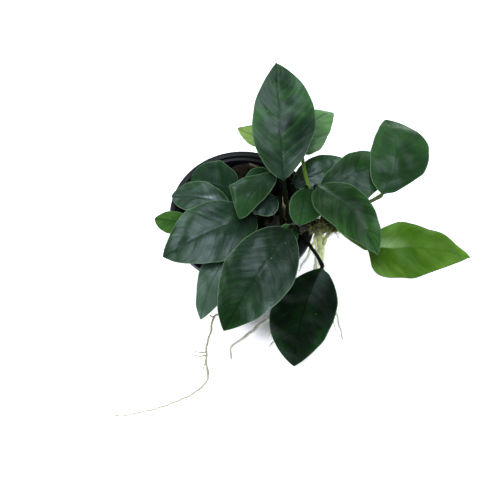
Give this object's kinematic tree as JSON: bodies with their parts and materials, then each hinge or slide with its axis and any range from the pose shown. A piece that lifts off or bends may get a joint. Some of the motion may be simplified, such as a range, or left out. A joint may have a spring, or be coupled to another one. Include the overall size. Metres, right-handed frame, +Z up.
{
  "type": "anubias nana plant on a stone in a pot",
  "caption": "Water plant with broad dark leaves on a creeping stem, which grows on a stone in a small round black pot and hangs pale roots over the pot's lip.",
  "frame": {"origin": "centre of the pot's flat underside, on the table", "axes": "+Z up from the table, -Y towards the side from which the plant is seen, +X to its right, where the stem crosses the pot's lip"},
  "size_m": [0.149, 0.1225, 0.082],
  "materials": {
    "pot": "black moulded plastic with a soft sheen on the lip",
    "stone": "rough dark brown stone",
    "rhizome": "ringed green-brown stem with fibres",
    "leaf": "waxy dark green leaf with a pale margin",
    "root": "pale green root"
  },
  "bodies": {
    "root": {"pot": "pot", "stone": "stone", "rhizome": "rhizome", "leaf_01": "leaf", "leaf_02": "leaf", "leaf_03": "leaf", "leaf_04": "leaf", "leaf_05": "leaf", "leaf_06": "leaf", "leaf_07": "leaf", "leaf_08": "leaf", "leaf_09": "leaf", "leaf_10": "leaf", "leaf_11": "leaf", "leaf_12": "leaf", "leaf_13": "leaf", "leaf_14": "leaf", "leaf_15": "leaf", "leaf_16": "leaf", "leaf_17": "leaf", "leaf_18": "leaf", "leaf_19": "leaf", "leaf_20": "leaf", "root_long": "root", "root_thick": "root", "root_bent": "root", "root_right": "root", "root_front": "root", "root_middle": "root", "root_straight": "root", "root_short": "root"}
  },
  "joints": []
}
